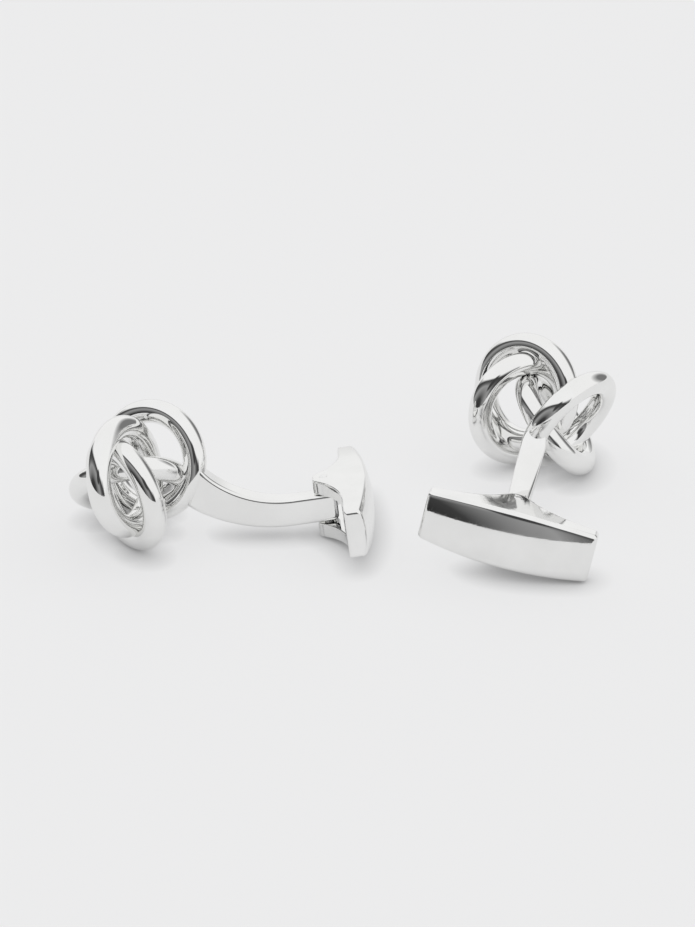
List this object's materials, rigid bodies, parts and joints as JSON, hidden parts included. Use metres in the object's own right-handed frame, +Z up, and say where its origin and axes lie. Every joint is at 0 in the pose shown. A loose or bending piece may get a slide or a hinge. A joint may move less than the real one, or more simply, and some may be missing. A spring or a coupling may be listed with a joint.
{
  "type": "cufflink",
  "caption": "Matching polished silver cufflinks, each a knot of linked round rings on a curved stem with a swivelling whale-back toggle bar.",
  "frame": {"origin": "middle of the pair's footprint on the table, at table height", "axes": "+X to the right and +Y away from the camera of the picture, +Z up"},
  "size_m": [0.0574, 0.0317, 0.0145],
  "materials": {
    "polished_silver": "polished sterling silver, rhodium bright",
    "pin_silver": "polished silver pin, ends filed flush",
    "spring_steel": "brushed spring steel"
  },
  "bodies": {
    "left_link": {"left_top_ring": "polished_silver", "left_front_ring": "polished_silver", "left_low_ring": "polished_silver", "left_back_ring": "polished_silver", "left_stem": "polished_silver"},
    "left_bar": {"left_toggle": "polished_silver", "left_hinge_pin": "pin_silver", "left_leaf_spring": "spring_steel"},
    "right_link": {"right_top_ring": "polished_silver", "right_front_ring": "polished_silver", "right_low_ring": "polished_silver", "right_back_ring": "polished_silver", "right_stem": "polished_silver"},
    "right_bar": {"right_toggle": "polished_silver", "right_hinge_pin": "pin_silver", "right_leaf_spring": "spring_steel"}
  },
  "joints": [
    {"name": "left_swivel", "type": "hinge", "parent": "left_link", "child": "left_bar", "pos_m": [-0.00184, -0.00493, 0.00343], "axis": [-0.1342, 0.1136, 0.9844], "range_deg": [-90, 90]},
    {"name": "right_swivel", "type": "hinge", "parent": "right_link", "child": "right_bar", "pos_m": [0.01712, -0.01057, 0.0041], "axis": [0.2265, 0.1227, 0.9663], "range_deg": [-90, 90]},
    {"name": "right_link_lift", "type": "slide", "parent": "left_link", "child": "right_link", "axis": [0, 0, 1], "range_m": [0, 0.06]}
  ]
}
